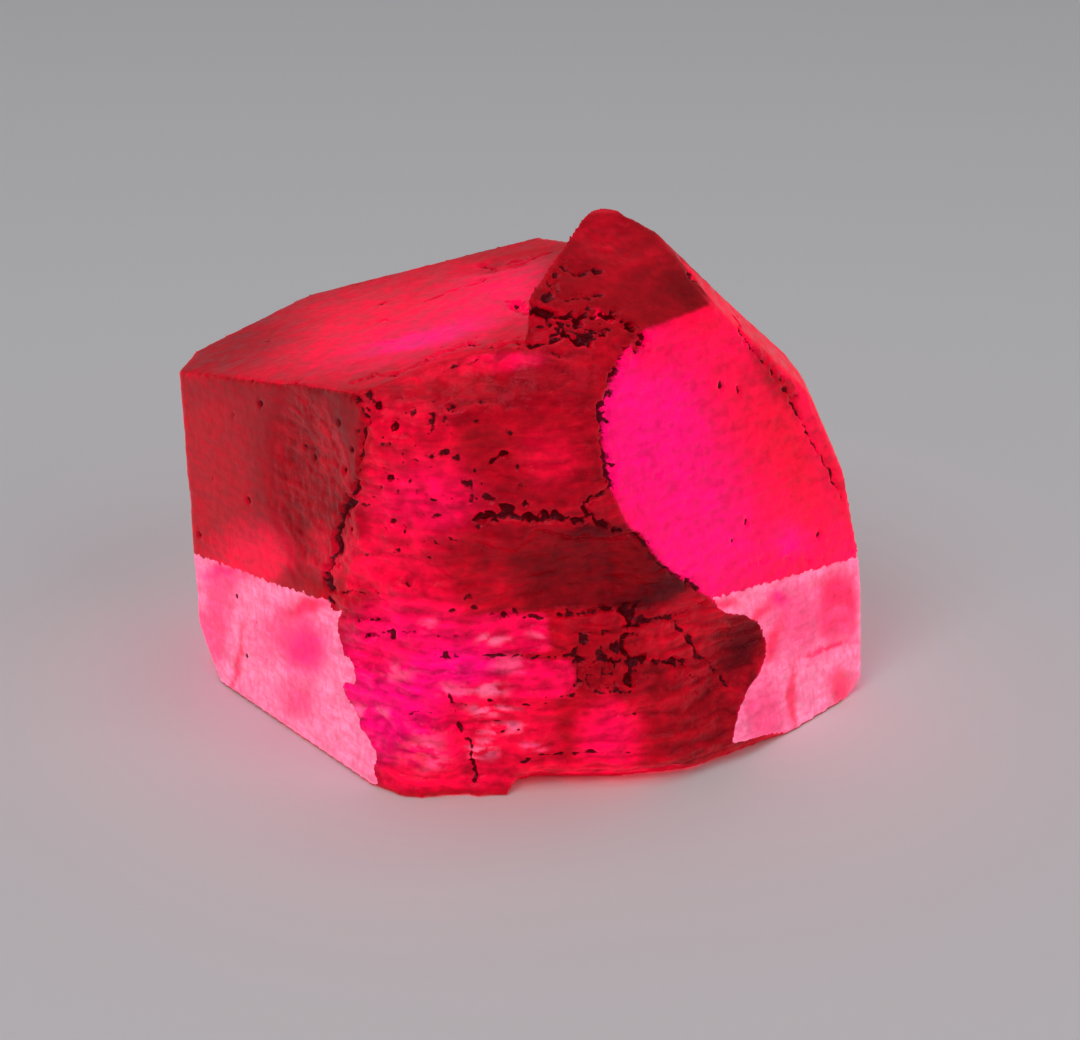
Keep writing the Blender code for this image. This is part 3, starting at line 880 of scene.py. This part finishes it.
def ruby_material():
    material = bpy.data.materials.new("ruby")
    material.use_nodes = True
    tree = material.node_tree
    link = tree.links.new
    shader = tree.nodes["Principled BSDF"]
    specks = noise_field(tree, 0.35)
    layers = noise_field(tree, 1.1, (1, 1, 3.2))
    ragged = maths(tree, "MULTIPLY", maths(tree, "SUBTRACT", specks, 0.5), 0.9)
    colour = light_colour(tree, specks, layers, ragged)
    # Painted light: the crystal glows with the light colour as emission, and its body colour is a
    # share of the same painted light and shade
    link(blend(tree, 1.0, colour, BODY_SHARE, "MULTIPLY"), shader.inputs["Base Color"])
    link(colour, shader.inputs["Emission Color"])
    link(spread(tree, layers, 0.3, 0.7, 0.28, 0.46), shader.inputs["Roughness"])
    link(small_bumps(tree, specks, layers), shader.inputs["Normal"])
    material.cycles.emission_sampling = "NONE"  # too soft a light to be aimed at as a lamp
    shader.inputs["Emission Strength"].default_value = 0.78
    shader.inputs["Specular IOR Level"].default_value = 0.1
    shader.inputs["Specular Tint"].default_value = (1.0, 0.2, 0.3, 1)
    shader.inputs["IOR"].default_value = 1.77
    shader.inputs["Transmission Weight"].default_value = 0.5
    body = node(tree, "VolumeAbsorption", Color=(1.0, 0.05, 0.2, 1), Density=150.0)
    link(body.outputs["Volume"], tree.nodes["Material Output"].inputs["Volume"])
    return material


# Floor, lights and world

FLOOR_GAP = 0.05 * MM  # between the floor and the base
# Lamps, in metres and watts: place, size and power. All are aimed at the crystal
LAMPS = {
    "key": ((-0.20, -0.30, 0.40), 0.25, 0.50),
    "fill": ((0.30, -0.25, 0.30), 0.30, 0.25),
    "above": ((0.0, 0.05, 0.50), 0.35, 0.40),
}


def plain_material(name, colour, roughness):
    material = bpy.data.materials.new(name)
    material.use_nodes = True
    shader = material.node_tree.nodes["Principled BSDF"]
    shader.inputs["Base Color"].default_value = (*colour, 1)
    shader.inputs["Roughness"].default_value = roughness
    return material


def add_floor():
    bm = bmesh.new()
    bmesh.ops.create_grid(bm, x_segments=1, y_segments=1, size=1.5)
    mesh = bpy.data.meshes.new("floor")
    bm.to_mesh(mesh)
    bm.free()
    floor = bpy.data.objects.new("floor", mesh)
    floor.location.z = -FLOOR_GAP
    floor.data.materials.append(plain_material("pale floor", (0.88, 0.87, 0.88), 0.7))
    bpy.context.scene.collection.objects.link(floor)
    floor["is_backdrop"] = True


def add_lamp(name, place, size, watts):
    data = bpy.data.lights.new(name, "AREA")
    data.energy = watts
    data.size = size
    lamp = bpy.data.objects.new(name, data)
    lamp.location = place
    lamp.rotation_euler = (-Vector(place)).to_track_quat("-Z", "Y").to_euler()
    bpy.context.scene.collection.objects.link(lamp)


def add_light():
    for name, lamp in LAMPS.items():
        add_lamp(name, *lamp)
    world = bpy.data.worlds.new("studio")
    world.use_nodes = True
    world.node_tree.nodes["Background"].inputs["Color"].default_value = (0.9, 0.92, 1.0, 1)
    world.node_tree.nodes["Background"].inputs["Strength"].default_value = 0.17
    bpy.context.scene.world = world
    bpy.context.scene.view_settings.view_transform = "Standard"


def solid_tree(node):
    corners = [tuple(face.vertices) for face in node.data.polygons]
    return BVHTree.FromPolygons([vert.co for vert in node.data.vertices], corners)


noise.seed_set(NOISE_SEED)
camera = add_camera()
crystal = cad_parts[NODE]
solid = solid_tree(crystal)
cracks = trace_cracks(camera, solid)
pits = trace_pits(camera, solid)
skin = fine_skin(crystal)
masks = carve(skin, camera, solid, cracks, pits, sharp_edge_points(crystal))
store(skin, "glow", glow_colours(masks))
store(skin, "band", lit_band_colours(masks))
store(skin, "pale", lit_band_part(masks))
store(skin, "crack", masks["crack"])
store(skin, "broken", masks["broken"])
thin_out(skin)
skin.data.shade_smooth()
skin.data.materials.clear()
skin.data.materials.append(ruby_material())
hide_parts(NODE)
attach(skin, "root")
add_floor()
add_light()

VISUAL_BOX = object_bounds()
boxes = {"cad": CAD_BOX, "visual": VISUAL_BOX}
{name: [list(corner) for corner in box] for name, box in boxes.items()}
